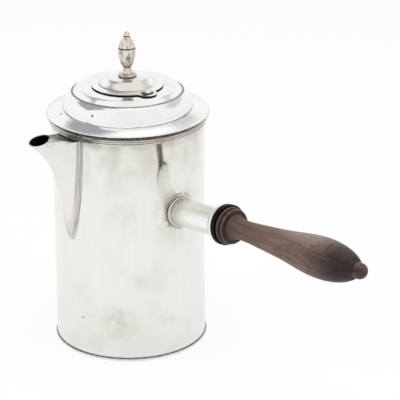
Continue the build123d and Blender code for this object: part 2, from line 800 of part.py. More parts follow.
with BuildPart() as rivet_burr:
    with BuildSketch(Plane.XY.offset(burr_under)):
        with Locations(pivot):
            Circle(BURR_RADIUS)
            Circle(RIVET_RADIUS, mode=Mode.SUBTRACT)
    extrude(amount=BURR_THICKNESS)
save(rivet_burr.part, "rivet_burr")

# ---------------------------------------------------------------- finial
foot_top = cover_top + FINIAL_FOOT_HEIGHT
urn_top = foot_top + URN_HEIGHT
cap_top = urn_top + CAP_HEIGHT
button_top = cap_top + BUTTON_HEIGHT
stud_end = foot_top + STUD_INTO_URN
lower_ring = cover_top + FOOT_RING_HEIGHT
upper_ring = lower_ring + UPPER_RING_HEIGHT

with BuildPart() as finial_foot:
    ring_flat = FINIAL_FOOT_RADIUS - FOOT_RING_HEIGHT / 2
    with BuildSketch(Plane.XZ):
        with BuildLine():
            Line((STUD_RADIUS, cover_top), (ring_flat, cover_top))
            ThreePointArc(
                (ring_flat, cover_top),
                (FINIAL_FOOT_RADIUS, cover_top + FOOT_RING_HEIGHT / 2),
                (ring_flat, lower_ring),
            )
            Polyline(
                (ring_flat, lower_ring),
                (UPPER_RING_RADIUS, lower_ring),
                (UPPER_RING_RADIUS, upper_ring),
            )
            Spline(
                (UPPER_RING_RADIUS, upper_ring),
                (FOOT_WAIST_RADIUS, upper_ring + FOOT_WAIST_RISE),
                (FINIAL_NECK_RADIUS, foot_top),
                tangents=((-1, 0.25), (-0.2, 1)),
            )
            Polyline(
                (FINIAL_NECK_RADIUS, foot_top),
                (STUD_RADIUS, foot_top),
                (STUD_RADIUS, cover_top),
            )
        make_face()
    revolve(axis=Axis.Z)
save(finial_foot.part, "finial_foot")

with BuildPart() as finial_urn:
    rim_flat = URN_RADIUS - URN_RIM_HEIGHT
    rim_start_height = urn_top - URN_RIM_HEIGHT
    with BuildSketch(Plane.XZ):
        with BuildLine():
            Polyline(
                (0, stud_end),
                (STUD_RADIUS, stud_end),
                (STUD_RADIUS, foot_top),
                (FINIAL_NECK_RADIUS, foot_top),
            )
            Spline(
                (FINIAL_NECK_RADIUS, foot_top),
                (URN_BELLY_RADIUS, foot_top + URN_BELLY_RISE),
                (URN_RADIUS, rim_start_height),
                tangents=((1, 0.8), (0, 1)),
            )
            CenterArc((rim_flat, rim_start_height), URN_RIM_HEIGHT, start_angle=0, arc_size=90)
            Polyline((rim_flat, urn_top), (0, urn_top), (0, stud_end))
        make_face()
    revolve(axis=Axis.Z)
save(finial_urn.part, "finial_urn")

with BuildPart() as finial_cap:
    button_waist = BUTTON_RADIUS - BUTTON_GROOVE
    button_base = cap_top + BUTTON_GROOVE
    with BuildSketch(Plane.XZ):
        with BuildLine():
            Polyline(
                (0, urn_top),
                (CAP_RADIUS - BUTTON_GROOVE, urn_top),
                (CAP_RADIUS, urn_top + BUTTON_GROOVE),
            )
            Spline(
                (CAP_RADIUS, urn_top + BUTTON_GROOVE),
                (CAP_SHOULDER_RADIUS, urn_top + CAP_SHOULDER_RISE),
                (BUTTON_RADIUS, cap_top),
                tangents=((0, 1), (-1, 0.9)),
            )
            Polyline(
                (BUTTON_RADIUS, cap_top),
                (button_waist, cap_top),
                (button_waist, button_base),
                (BUTTON_RADIUS, button_base),
                (BUTTON_RADIUS, button_top - BUTTON_RADIUS),
            )
            CenterArc((0, button_top - BUTTON_RADIUS), BUTTON_RADIUS, start_angle=0, arc_size=90)
            Line((0, button_top), (0, urn_top))
        make_face()
    revolve(axis=Axis.Z)
save(finial_cap.part, "finial_cap")

with BuildPart() as finial_stud:
    with BuildSketch(Plane.XY.offset(cover_top - STUD_BELOW)):
        Circle(STUD_RADIUS)
    extrude(amount=STUD_BELOW + stud_end - cover_top)
save(finial_stud.part, "finial_stud")

with BuildPart() as finial_nut:
    with BuildSketch(Plane.XY.offset(cover_top - COVER_SHEET)):
        RegularPolygon(NUT_RADIUS, NUT_SIDES, major_radius=False)
        Circle(STUD_RADIUS, mode=Mode.SUBTRACT)
    extrude(amount=-NUT_HEIGHT)
save(finial_nut.part, "finial_nut")
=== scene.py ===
# %% [markdown]
# # A silver chocolate pot
# This lesson dresses a finished metalwork model of a chocolate pot: a straight silver
# body with a beak spout, a turned wooden side handle, a lift-off lid and a little
# swinging cover with an urn finial. The solids already exist, each in its place. The
# lesson makes the finishes, remodels the pieces whose surface matters most, and
# lights the pot as a silversmith's catalogue would.

import math

import bpy
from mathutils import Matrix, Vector


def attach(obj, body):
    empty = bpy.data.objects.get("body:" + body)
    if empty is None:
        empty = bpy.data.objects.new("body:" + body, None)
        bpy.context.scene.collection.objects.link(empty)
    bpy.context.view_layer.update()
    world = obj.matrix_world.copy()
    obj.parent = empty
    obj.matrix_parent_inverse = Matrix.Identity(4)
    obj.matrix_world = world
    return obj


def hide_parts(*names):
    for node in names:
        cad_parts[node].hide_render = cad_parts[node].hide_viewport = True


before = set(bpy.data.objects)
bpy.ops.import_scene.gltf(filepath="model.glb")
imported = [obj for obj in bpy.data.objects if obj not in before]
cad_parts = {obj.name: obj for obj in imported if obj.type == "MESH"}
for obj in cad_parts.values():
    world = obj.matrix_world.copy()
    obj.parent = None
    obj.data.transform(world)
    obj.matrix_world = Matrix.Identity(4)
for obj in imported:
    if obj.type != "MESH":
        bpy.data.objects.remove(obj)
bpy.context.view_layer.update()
bpy.ops.object.select_all(action="DESELECT")

# %% [markdown]
# ## The camera
# A long lens from a little over a metre keeps the cylinder's sides nearly parallel.
# The camera looks down on the lid by some twenty degrees, from between the spout and
# the handle. A camera can be aimed by typing angles; here it is aimed at a point near
# the pot, which is easier to read, and then rolled a hair to level the table.

# %% Place the camera
CAMERA_PLACE = Vector((1.0031, -0.8269, 0.6265))
CAMERA_AIM = Vector((0.0829, -0.0053, 0.1293))
CAMERA_LENS = 173.5
CAMERA_ROLL = -0.15

bpy.ops.object.camera_add(location=CAMERA_PLACE)
camera = bpy.context.object
camera.name = "studio_camera"
camera.data.lens = CAMERA_LENS
camera.data.clip_end = 20
camera.rotation_euler = (CAMERA_AIM - CAMERA_PLACE).to_track_quat("-Z", "Y").to_euler()
camera.rotation_euler.rotate_axis("Z", math.radians(CAMERA_ROLL))
bpy.context.scene.camera = camera
print("camera looks down by", round(90 - math.degrees(camera.rotation_euler.x), 1), "degrees")

# %% [markdown]
# ## Building finishes from nodes
# Every finish below is a small graph of nodes that feeds one Principled shader. Such a
# graph can be wired by hand in the shader editor; a few helpers wire it here, and keep
# each finish short enough to read. Graph makes a node, fills its sockets and does sums
# with the values. It serves the floor and the room as well.

# %% Helpers for any graph of nodes


class Graph:
    """A node tree with short ways to add nodes and to join them."""

    def __init__(self, tree):
        self.tree = tree

    def add(self, kind, values=None, **settings):
        """Adds a node; values fill its sockets or are linked into them."""
        node = self.tree.nodes.new("ShaderNode" + kind)
        for name, value in settings.items():
            setattr(node, name, value)
        for socket, value in (values or {}).items():
            if isinstance(value, bpy.types.NodeSocket):
                self.tree.links.new(value, node.inputs[socket])
            elif value is not None:
                node.inputs[socket].default_value = value
        return node

    def math(self, operation, first, second=None):
        return self.add("Math", {0: first, 1: second}, operation=operation).outputs[0]

    def vector(self, operation, first, second=None, output="Vector"):
        values = {0: first, 1: second}
        return self.add("VectorMath", values, operation=operation).outputs[output]

    def fade(self, value, start, end):
        """Runs smoothly from 0 where value is start to 1 where it is end."""
        values = {"Value": value, "From Min": start, "From Max": end}
        return self.add("MapRange", values, interpolation_type="SMOOTHSTEP").outputs[0]

    def scaled(self, value, low, high):
        """A value between 0 and 1, run out to between low and high."""
        return self.add("MapRange", {"Value": value, "To Min": low, "To Max": high}).outputs[0]

    def mix(self, value, first, second):
        """The first colour where value is 0, the second where it is 1."""
        values = {0: value}
        for socket, source in ((6, first), (7, second)):
            plain = not isinstance(source, bpy.types.NodeSocket)
            values[socket] = (*source, 1) if plain else source
        return self.add("Mix", values, data_type="RGBA").outputs[2]

    def either(self, first, *others):
        """The largest of several values."""
        for other in others:
            first = self.math("MAXIMUM", first, other)
        return first

    def product(self, first, *others):
        for other in others:
            first = self.math("MULTIPLY", first, other)
        return first

    def sight(self):
        """1 for what the camera, a mirror or a glass looks at, 0 for soft light."""
        rays = self.add("LightPath").outputs
        kinds = ("Camera", "Glossy", "Transmission")
        return self.either(*(rays[f"Is {kind} Ray"] for kind in kinds))


print("graph helpers:", [name for name in vars(Graph) if not name.startswith("_")])

# %% [markdown]
# A Finish is the graph of one material. It knows where each spot of the pot lies from
# the Object coordinates, and so it can say how high a spot is, how far from the pot's
# axis, how near to a point, and whether it faces up. Places could be painted by hand on
# an image instead; values worked out from the place need no image and stay sharp.

# %% Helpers for a finish


class Finish(Graph):
    """A material: the graph that feeds one Principled shader."""

    def __init__(self, name, **constants):
        self.material = bpy.data.materials.new(name)
        self.material.use_nodes = True
        super().__init__(self.material.node_tree)
        self.shader = self.tree.nodes["Principled BSDF"]
        for socket, value in constants.items():
            self.shader.inputs[socket.replace("_", " ")].default_value = value
        self.place = self.add("TexCoord").outputs["Object"]
        axes = self.add("SeparateXYZ", {0: self.place}).outputs
        self.across, self.depth, self.height = axes["X"], axes["Y"], axes["Z"]
        flat = self.vector("MULTIPLY", self.place, (1, 1, 0))
        self.reach = self.vector("LENGTH", flat, output="Value")

    def stretched(self, scale, turn=(0, 0, 0)):
        """Object coordinates turned and then multiplied by scale."""
        turned = self.add("Mapping", {"Vector": self.place, "Rotation": turn})
        return self.add("Mapping", {"Vector": turned.outputs[0], "Scale": scale}).outputs[0]

    def clouds(self, where, scale=1.0, detail=3.0, roughness=0.5, distortion=0.0):
        values = {"Vector": where, "Scale": scale, "Detail": detail}
        values.update({"Roughness": roughness, "Distortion": distortion})
        return self.add("TexNoise", values).outputs["Fac"]

    def patches(self, scale, start, end, detail=4.0):
        """Clouds cut to patches; scale is one number, or three that stretch them."""
        if isinstance(scale, tuple):
            return self.fade(self.clouds(self.stretched(scale), detail=detail), start, end)
        return self.fade(self.clouds(self.place, scale, detail), start, end)

    def away(self, point):
        """How far a place lies from a point."""
        return self.vector("DISTANCE", self.place, point, output="Value")

    def near(self, point, full, gone):
        """1 within the distance full of a point, falling to 0 at the distance gone."""
        return self.fade(self.away(point), gone, full)

    def stripe(self, value, middle, half):
        """1 where value is middle, falling to 0 at half on either side."""
        off = self.math("ABSOLUTE", self.math("SUBTRACT", value, middle))
        return self.fade(off, half, 0)

    def along(self, point, direction):
        """How far a place lies from a point along a direction."""
        away = self.vector("SUBTRACT", self.place, tuple(point))
        return self.vector("DOT_PRODUCT", away, tuple(direction), output="Value")

    def facing(self, start, end):
        """Goes from 0 to 1 as the upward part of the face's direction does from start to end."""
        normal = self.add("SeparateXYZ", {0: self.add("NewGeometry").outputs["Normal"]})
        return self.fade(normal.outputs["Z"], start, end)

    def shaded_underside(self, strength):
        """Painted shade: the given strength on faces that look down."""
        return self.product(self.facing(-0.35, -0.75), strength)

    def feed(self, socket, value):
        self.tree.links.new(value, self.shader.inputs[socket])

    def bump(self, *layers):
        """Stacks bumps; each layer is (height, strength, distance in metres)."""
        normal = None
        for height, strength, distance in layers:
            values = {"Height": height, "Strength": strength, "Distance": distance}
            values["Normal"] = normal
            normal = self.add("Bump", values).outputs["Normal"]
        self.feed("Normal", normal)

    def finished(self):
        print("finish", self.material.name, "has", len(self.tree.nodes), "nodes")
        return self.material


print("finish helpers:", [name for name in vars(Finish) if not name.startswith("_")])

# %% [markdown]
# ## Old polished silver
# Silver is a mirror, so its colour is mostly the room. What tells that it is old is
# small: a faint warm bloom in clouds, a skin of fine wiping scratches that blurs the
# mirror, sheet that was hammered up by hand and is never quite even, and dark tarnish
# where a cloth doesn't reach. The bloom and the tarnish go into the colour, the
# scratches into roughness and a fine bump, and the hammered unevenness into a broad
# bump. The same dark colour also paints shade: on faces that look down, in narrow gaps
# and under ledges. Where the tarnish and the painted shade sit differs from piece to
# piece, so each finish is given its own list of them as values between 0 and 1.

# %% Silver
TARNISH_AND_SHADE = (0.040, 0.034, 0.028)
WARM_STAIN = (0.49, 0.44, 0.36)
BRUSHED_SCALE = (420, 420, 13)
WIPE_SCALE = (900, 900, 60)
CROSS_SCALE, CROSS_TURN = (110, 140, 1400), (0.5, 0.2, 0)
TARNISH_AND_SHADE_ROUGHNESS = 0.5


def silver(name, bright, bloom, low, high, tarnish_and_shade_places=(), waves=1.0, stains=(), stain=WARM_STAIN):
    """Mirror silver with roughness from low to high; tarnish_and_shade_places and stains
    list functions that say where dark tarnish, painted shade and warm bloom sit."""
    finish = Finish(name, Metallic=1.0)
    cloud = finish.clouds(finish.place, 15, detail=5, roughness=0.62)
    brushed = finish.product(finish.patches(BRUSHED_SCALE, 0.40, 0.8, detail=3), 0.22)
    wipe = finish.clouds(finish.stretched(WIPE_SCALE), detail=2)
    cross = finish.clouds(finish.stretched(CROSS_SCALE, CROSS_TURN), detail=2)
    scratches = finish.product(wipe, cross)
    colour = finish.mix(finish.either(finish.fade(cloud, 0.44, 0.72), brushed), bright, bloom)
    if stains:
        colour = finish.mix(finish.either(*(place(finish) for place in stains)), colour, stain)
    # Real tarnish and painted shade are gathered into one mask and drawn in the dark colour.
    tarnish_and_shade = finish.either(0.0, *(hollow(finish) for hollow in tarnish_and_shade_places))
    speckle = finish.patches(420, 0.25, 0.62)
    tarnish_and_shade = finish.product(tarnish_and_shade, finish.scaled(speckle, 0.75, 1.0))
    finish.feed("Base Color", finish.mix(tarnish_and_shade, colour, TARNISH_AND_SHADE))
    rough = finish.scaled(finish.fade(scratches, 0.12, 0.42), low, high)
    finish.feed("Roughness", finish.either(rough, finish.product(tarnish_and_shade, TARNISH_AND_SHADE_ROUGHNESS)))
    hammered = finish.clouds(finish.place, 34, detail=1.5)
    finish.bump((hammered, 0.10 * waves, 0.0012), (scratches, 0.05, 0.0002))
    return finish.finished()


print("silver is ready, with tarnish", TARNISH_AND_SHADE)

# %% [markdown]
# ## The seam along the beak
# The beak is a separate sheet, soldered on along a U-shaped line. Polish and grease stay
# beside that line, most of all on the handle's side, where a polishing cloth doesn't
# reach. The line could be painted; here it is a formula, a U that is
# narrow at the foot and as wide as the beak at the top, and the distance from it is
# what every stain beside it is made of.

# %% How far from the seam
SEAM_TOP = 0.1650
SEAM_DROP = 0.0744
SEAM_HALF = 0.0116
SEAM_POWER = 1.7
SEAM_BACK = (-0.040, -0.030)
SEAM_CLEAN_SIDE = (-0.004, 0.002)
SEAM_CLEAN_FOOT = (0.088, 0.112)


def seam_distance(finish):
    """How far outside the beak's outline on the body a place lies, in metres."""
    across = finish.math("DIVIDE", finish.across, SEAM_HALF)
    drop = finish.math("MAXIMUM", finish.math("SUBTRACT", SEAM_TOP, finish.height), 0.0)
    drop = finish.math("DIVIDE", drop, SEAM_DROP)
    powered = finish.math("POWER", drop, SEAM_POWER)
    value = finish.math("ADD", finish.product(across, across), powered)
    slope_x = finish.product(across, 2 / SEAM_HALF)
    slope_z = finish.math("POWER", drop, SEAM_POWER - 1)
    slope_z = finish.product(slope_z, SEAM_POWER / SEAM_DROP)
    squares = [finish.product(slope, slope) for slope in (slope_x, slope_z)]
    slope = finish.math("SQRT", finish.math("ADD", *squares))
    off = finish.math("DIVIDE", finish.math("SUBTRACT", value, 1), slope)
    return finish.math("ADD", off, finish.fade(finish.depth, *SEAM_BACK))


def seam_side(finish):
    """The solder is dirtier on the handle's side, and less so towards its foot."""
    side = finish.scaled(finish.fade(finish.across, *SEAM_CLEAN_SIDE), 0.10, 1.0)
    foot = finish.scaled(finish.fade(finish.height, *SEAM_CLEAN_FOOT), 0.55, 1.0)
    return finish.product(side, foot)


def seam_edge(finish):
    """The dark outer edge of the solder beside the beak."""
    thin = finish.clouds(finish.place, 160, detail=3)
    line = finish.stripe(seam_distance(finish), 0.0018, 0.0007)
    close = finish.stripe(seam_distance(finish), 0.0003, 0.0007)
    lines = finish.product(finish.either(line, close), finish.scaled(thin, 0.30, 1.0))
    return finish.product(lines, seam_side(finish), 0.85)


def seam_smudge(finish):
    """The wider, softer stain along the solder."""
    soft = finish.clouds(finish.place, 70, detail=4)
    band = finish.fade(seam_distance(finish), 0.0029, 0.0010)
    return finish.product(band, seam_side(finish), finish.scaled(soft, 0.35, 1.0))


print("the seam is", round(SEAM_DROP * 1000, 1), "mm long and", round(2000 * SEAM_HALF, 1), "mm wide")

# %% [markdown]
# ## Round the handle's socket
# The socket is soldered on as well, and its root is the dirtiest place of the pot: a
# warm bloom spreads from it, a ragged dark ring hugs the collar, and a scar of old
# solder curves over it. All of these are distances from one point, broken up by clouds.

# %% Round the socket's root
SOCKET_RAKE = math.radians(6.5)
SOCKET_ROOT = (0.0546, 0.0, 0.1105)
SOCKET_RUN = (math.cos(SOCKET_RAKE), 0, math.sin(SOCKET_RAKE))
SCAR_REACH, SCAR_HALF = 0.0136, 0.0013
SCAR_RISE = (SOCKET_ROOT[2] + 0.007, SOCKET_ROOT[2] + 0.011)


def socket_bloom(finish):
    """The warm bloom on the body round the socket."""
    smudge = finish.patches((90, 90, 60), 0.30, 0.70, detail=5)
    wide = finish.product(finish.near(SOCKET_ROOT, 0.008, 0.033), smudge, 0.50)
    close = finish.product(finish.near(SOCKET_ROOT, 0.0115, 0.0150), 0.55)
    return finish.either(wide, close)


def socket_dirt(finish):
    """The dark ring beside the collar, ragged outside it, and the scar above."""
    ragged = finish.near(SOCKET_ROOT, 0.010, 0.0165)
    ragged = finish.product(ragged, finish.patches(260, 0.42, 0.66), 0.6)
    ring = finish.product(finish.near(SOCKET_ROOT, 0.0108, 0.0118), 0.75)
    scar = finish.stripe(finish.away(SOCKET_ROOT), SCAR_REACH, SCAR_HALF)
    upper = finish.fade(finish.height, *SCAR_RISE)
    scar = finish.product(scar, upper, finish.patches(150, 0.36, 0.58), 0.55)
    return finish.either(ragged, scar, ring)


print("the socket rises by", round(math.degrees(SOCKET_RAKE), 1), "degrees")

# %% [markdown]
# ## The body
# The rest of the body is clean silver with soft marks: a painted shadow under the reeded
# band, a bloom that fades downwards from it, a line above the foot wire, a few dull
# patches, and one small black pit. The inside is dulled all over, because nobody polishes it.

# %% Body silver
BAND_FOOT = 0.165
BAND_SHADE = (BAND_FOOT - 0.007, BAND_FOOT + 0.0005)
TOP_BLOOM = (0.118, 0.163)
FOOT_WIRE_TOP = 0.0024
INSIDE_REACH = (0.0541, 0.0539)
BODY_PIT = (0.0107, -0.05375, 0.0299)
BLOTCHES = (
    ((0.0366, -0.0407, 0.030), 0.018, 0.8), ((0.0536, -0.0110, 0.030), 0.009, 0.4),
    ((0.0429, -0.0333, 0.146), 0.010, 0.35), ((0.0300, -0.0460, 0.158), 0.018, 0.55),
    ((0.0461, -0.0295, 0.062), 0.014, 0.25), ((0.0400, -0.0370, 0.110), 0.022, 0.25),
    ((0.0240, -0.0493, 0.012), 0.012, 0.3), ((0.0498, -0.0218, 0.160), 0.014, 0.5),
)


# Painted shadow that the reeded band casts on the body, broken up by clouds.
def under_band_shadow(finish):
    smudge = finish.scaled(finish.patches(70, 0.3, 0.75, detail=5), 0.12, 0.6)
    return finish.product(finish.fade(finish.height, *BAND_SHADE), smudge)


def top_bloom(finish):
    smudge = finish.patches((60, 60, 25), 0.35, 0.75, detail=5)
    return finish.product(finish.fade(finish.height, *TOP_BLOOM), smudge, 0.60)


def blotches(finish):
    """Dull patches, each a place, a size and a strength."""
    spots = [finish.product(finish.near(at, 0.0, size), strength) for at, size, strength in BLOTCHES]
    return finish.product(finish.either(*spots), finish.patches(110, 0.25, 0.75, detail=5))


def foot_line(finish):
    return finish.product(finish.stripe(finish.height, FOOT_WIRE_TOP, 0.0011), 0.85)


def inside_wall(finish):
    return finish.product(finish.fade(finish.reach, *INSIDE_REACH), 0.45)


def body_pit(finish):
    return finish.near(BODY_PIT, 0.0004, 0.001)


body_silver = silver(
    "body_silver", (0.85, 0.862, 0.83), (0.775, 0.775, 0.725), 0.07, 0.17,
    (under_band_shadow, socket_dirt, seam_edge, foot_line, inside_wall, body_pit),
    stains=(seam_smudge, top_bloom, blotches, socket_bloom),
)

# %% [markdown]
# ## The reeded band
# Reeds are fine half-round threads round the mouth. A cloth rides over their crests and
# leaves tarnish in the grooves, which are also painted dark with the shade between the
# reeds; the grooves are found by their distance from the axis. The top reed is painted
# dark with the shade of the lid, the band's silver is a darker copy painted with that
# shade, and beside the beak no cloth gets in at all.

# %% Reed silver
GROOVE_REACH = (0.05590, 0.05552)
LID_SHADE = (0.1688, 0.1703)
BEAK_CORNER = (0.013, -0.0545, 0.169)


# Tarnish and painted shade in the grooves between the reeds.
def reed_grooves(finish):
    return finish.fade(finish.reach, *GROOVE_REACH)


# Painted shade of the lid on the top reed.
def reed_shade(finish):
    return finish.fade(finish.height, *LID_SHADE)


def reed_smudge(finish):
    ragged = finish.patches((120, 120, 500), 0.30, 0.62)
    return finish.product(finish.near(BEAK_CORNER, 0.007, 0.026), ragged, 0.8)


# A darker copy of silver: its colours paint the shade under the lid.
shaded_reed_silver = silver(
    "shaded_reed_silver", (0.74, 0.72, 0.68), (0.56, 0.52, 0.46), 0.14, 0.28,
    (reed_grooves, reed_shade, reed_smudge),
)

# %% [markdown]
# ## The lid
# The lid is the brightest piece, and its marks are thin lines: a painted shadow where
# the raised plate meets the dome, a dull line where the plate starts to roll over, and a
# painted shadow round the swinging cover's brim and lug. The flange shows painted dark
# reflections of a few old knocks above the beak, the dome has one pit, faces that look
# down are painted with shade, and the lower half of the wire round the edge is painted
# with shade on the side that faces the camera.

# %% Marks of the lid
PLATE_CONTACT = 0.0396
CONTACT_FADES = (
    (PLATE_CONTACT - 0.0013, PLATE_CONTACT - 0.0007),
    (PLATE_CONTACT + 0.0009, PLATE_CONTACT + 0.0003),
)
CONTACT_HEIGHTS = ((0.1882, 0.1877), (0.185, 0.1855))
PLATE_TOP = (0.1896, 0.1902)
PLATE_BREAK = 0.0351
PLATE_FRONT = (0.014, -0.032, 0.191)


def plate_shadow_line(finish):
    """Painted shadow: the dark line where the plate stands on the dome."""
    sides = [finish.fade(finish.reach, *ends) for ends in CONTACT_FADES]
    levels = [finish.fade(finish.height, *ends) for ends in CONTACT_HEIGHTS]
    return finish.product(*sides, *levels, 0.8)


def plate_wear(finish):
    """A dull line where the plate starts to roll over, and smears inside it."""
    smear = finish.patches((55, 160, 100), 0.45, 0.70, detail=5)
    line = finish.product(finish.stripe(finish.reach, PLATE_BREAK, 0.0010),
                          finish.near(PLATE_FRONT, 0.006, 0.034), finish.scaled(smear, 0.35, 0.65))
    inside = finish.fade(finish.reach, PLATE_BREAK - 0.0001, PLATE_BREAK - 0.0021)
    smears = finish.product(inside, smear, 0.16)
    return finish.product(finish.fade(finish.height, *PLATE_TOP), finish.either(line, smears))


print("the plate meets the dome", PLATE_CONTACT * 1000, "mm from the axis")

# %% Lid silver
PIVOT = (0.02578, -0.00339, 0.1911)
BRIM_SHADOW_TOP = (0.1905, 0.1909)
BRIM_REACH, LUG_REACH = 0.0249, 0.0060
DENTS = (
    ((-0.0066, -0.0505, 0.1734), 0.0032), ((-0.0202, -0.0443, 0.1743), 0.0030),
    ((-0.0019, -0.0524, 0.1729), 0.0022),
)
DOME_PIT = (0.01383, -0.04342, 0.18153)
RIM_REACH, RIM_LOWER_HALF = (0.0570, 0.0574), (0.17255, 0.17220)
CAMERA_SIDE, CAMERA_SIDE_FADE = (0.77, -0.64, 0), (-0.010, 0.022)


def dent_reflections(finish):
    """Painted dark reflections of small knocks on the flange above the beak."""
    ragged = finish.patches(520, 0.50, 0.60, detail=2)
    knocks = [finish.near(at, 0.0004, size) for at, size in DENTS]
    return finish.product(finish.either(*knocks), ragged, 0.75)


def brim_shadow_ring(finish):
    """Painted shadow: the dark line that the cover's brim and its lug cast on the plate."""
    round_brim = finish.stripe(finish.reach, BRIM_REACH, 0.0014)
    round_lug = finish.stripe(finish.away(PIVOT), LUG_REACH, 0.0012)
    on_top = finish.fade(finish.height, *BRIM_SHADOW_TOP)
    return finish.product(on_top, finish.either(round_brim, round_lug))


def rim_shade(finish):
    """Painted shade on the lower half of the wire round the lid's edge, on the side that faces the
    camera.
    """
    outside = finish.fade(finish.reach, *RIM_REACH)
    shaded_side = finish.fade(finish.along((0, 0, 0), CAMERA_SIDE), *CAMERA_SIDE_FADE)
    return finish.product(outside, shaded_side, finish.fade(finish.height, *RIM_LOWER_HALF))


def dome_pit(finish):
    return finish.near(DOME_PIT, 0.0005, 0.0012)


lid_silver = silver(
    "lid_silver", (0.93, 0.935, 0.93), (0.86, 0.86, 0.845), 0.05, 0.14,
    # Faces that look down are painted with shade.
    (lambda finish: finish.shaded_underside(0.9), dome_pit, plate_shadow_line, plate_wear, dent_reflections,
     brim_shadow_ring, rim_shade),
    waves=2.0,
)

# %% [markdown]
# ## Socket, beak and solder
# The socket is a warmer, slightly duller tube with a dark line on each side of its
# collar. The beak is duller still, because a curved spout is wiped across and not along,
# and its roof is painted dark with the lid's shade. Its throat is painted black with the
# shade inside the spout. Solder is an alloy that tarnishes faster than the sheet, so its
# bead is greyer.

# %% Fitting silver
COLLAR_LINES = ((0.0001, 0.0008, 0.8), (0.0031, 0.0006, 0.75))


def collar_lines(finish):
    """Dark lines at both edges of the socket's collar."""
    along = finish.along(SOCKET_ROOT, SOCKET_RUN)
    lines = [finish.product(finish.stripe(along, at, half), strength)
             for at, half, strength in COLLAR_LINES]
    return finish.either(*lines)


def root_bloom(finish):
    return finish.product(finish.near(SOCKET_ROOT, 0.010, 0.020), 0.55)


fitting_silver = silver(
    "fitting_silver", (0.92, 0.91, 0.875), (0.80, 0.775, 0.705), 0.10, 0.22,
    (collar_lines,), stains=(root_bloom,),
)

# %% Beak silver, the throat and the solder
BEAK_ROOT = 0.0563
BEAK_ROOT_STAIN = (0.0575, 0.0550)
BEAK_EDGE_RISE = (0.112, 0.130)
ROOF_RISE, ROOF_REACH = (0.160, 0.165), (0.082, 0.064)
SOLDER_STREAKS = (300, 300, 40)


def beak_edge(finish):
    """Dark lines where the beak leaves the solder."""
    line = finish.product(finish.stripe(finish.reach, BEAK_ROOT, 0.0007), 0.5)
    return finish.product(line, finish.fade(finish.height, *BEAK_EDGE_RISE), seam_side(finish))


def roof_shade(finish):
    """Painted shade on the beak's roof, darker the nearer it is to the body."""
    roof = finish.product(finish.facing(0.35, 0.8), finish.fade(finish.height, *ROOF_RISE))
    smudge = finish.scaled(finish.patches(130, 0.2, 0.7), 0.5, 0.9)
    return finish.product(roof, finish.fade(finish.reach, *ROOF_REACH), smudge)


def beak_root_stain(finish):
    return finish.product(finish.fade(finish.reach, *BEAK_ROOT_STAIN), seam_side(finish), 0.6)


def solder_streaks(finish):
    return finish.product(finish.patches(SOLDER_STREAKS, 0.45, 0.75, detail=3), 0.6)


beak_silver = silver(
    "beak_silver", (0.87, 0.87, 0.845), (0.80, 0.785, 0.74), 0.34, 0.40,
    (beak_edge, roof_shade), stains=(beak_root_stain,),
)
# Painted shade: near-black faces inside the spout's throat.
throat_painted_shade = silver(
    "throat_painted_shade", (0.03, 0.025, 0.02), (0.012, 0.010, 0.008), 0.45, 0.65,
)
solder_grey = silver(
    "solder_grey", (0.74, 0.71, 0.65), (0.55, 0.50, 0.43), 0.22, 0.4,
    (solder_streaks,), waves=3.0,
)

# %% [markdown]
# ## The swinging cover
# The cover's edge is painted dark with its own shade, painted shade runs round the foot
# of its crown, faces that look down are painted with shade, and the crown has a warm
# bloom in front. The rivet's head casts a painted shadow on the lug that it bears on,
# with a darker spot of painted shadow beside it, and its own lower part is painted with
# shade.

# %% Cover and rivet silver
BRIM_EDGE = (0.19226, 0.1921)
CROWN_FOOT = 0.0200
CROWN_FOOT_RISE = (0.1922, 0.1925)
CROWN_FOOT_FRONT = (0.004, -0.021, 0.1925)
CROWN_FRONT = (0.0165, -0.0085, 0.196)
RIVET_FOOT = (*PIVOT[:2], 0.1925)
RIVET_SHADOW_SPOT = (0.0282, -0.0074, 0.1925)
RIVET_SHADE = (0.1935, 0.1931)


def brim_shade(finish):
    return finish.product(finish.fade(finish.height, *BRIM_EDGE), 0.95)


def crown_foot_shade(finish):
    """Painted shade round the crown's foot, most of it in front."""
    front = finish.scaled(finish.near(CROWN_FOOT_FRONT, 0.010, 0.034), 0.15, 0.7)
    ring = finish.stripe(finish.reach, CROWN_FOOT, 0.0010)
    return finish.product(ring, front, finish.fade(finish.height, *CROWN_FOOT_RISE))


def rivet_shadow_ring(finish):
    """Painted shadow round the rivet's head, where it bears on the lug."""
    ring = finish.stripe(finish.away(RIVET_FOOT), 0.0042, 0.0011)
    return finish.either(ring, finish.near(RIVET_SHADOW_SPOT, 0.0018, 0.0030))


def crown_bloom(finish):
    smudge = finish.scaled(finish.patches(90, 0.1, 0.8), 0.7, 1.0)
    return finish.product(finish.near(CROWN_FRONT, 0.010, 0.0185), smudge)


cover_silver = silver(
    "cover_silver", (0.94, 0.94, 0.93), (0.87, 0.865, 0.85), 0.20, 0.30,
    # Faces that look down are painted with shade, and so is the brim's edge.
    (lambda finish: finish.shaded_underside(0.95), brim_shade, crown_foot_shade, rivet_shadow_ring),
    stains=(crown_bloom,), stain=(0.80, 0.765, 0.73),
)
rivet_silver = silver(
    "rivet_silver", (0.90, 0.90, 0.89), (0.80, 0.79, 0.77), 0.10, 0.2,
    # The rivet's lower part is painted with shade.
    (lambda finish: finish.fade(finish.height, *RIVET_SHADE),),
)

# %% [markdown]
# ## The finial
# The finial is cast and turned in three pieces, and is never taken apart for cleaning.
# So it is warmer than the rest, with black joints between the pieces and streaks that
# run up and down, the way a cloth is rubbed round an upright knob.

# %% Finial silver
FINIAL_JOINTS = ((0.19850, 0.0009), (0.2048, 0.0006), (0.2188, 0.0007), (0.2273, 0.0008))
URN_SPOT = (0.0058, -0.0034, 0.2126)


def streaks(finish):
    return finish.product(finish.patches((330, 330, 60), 0.38, 0.64), 0.85)


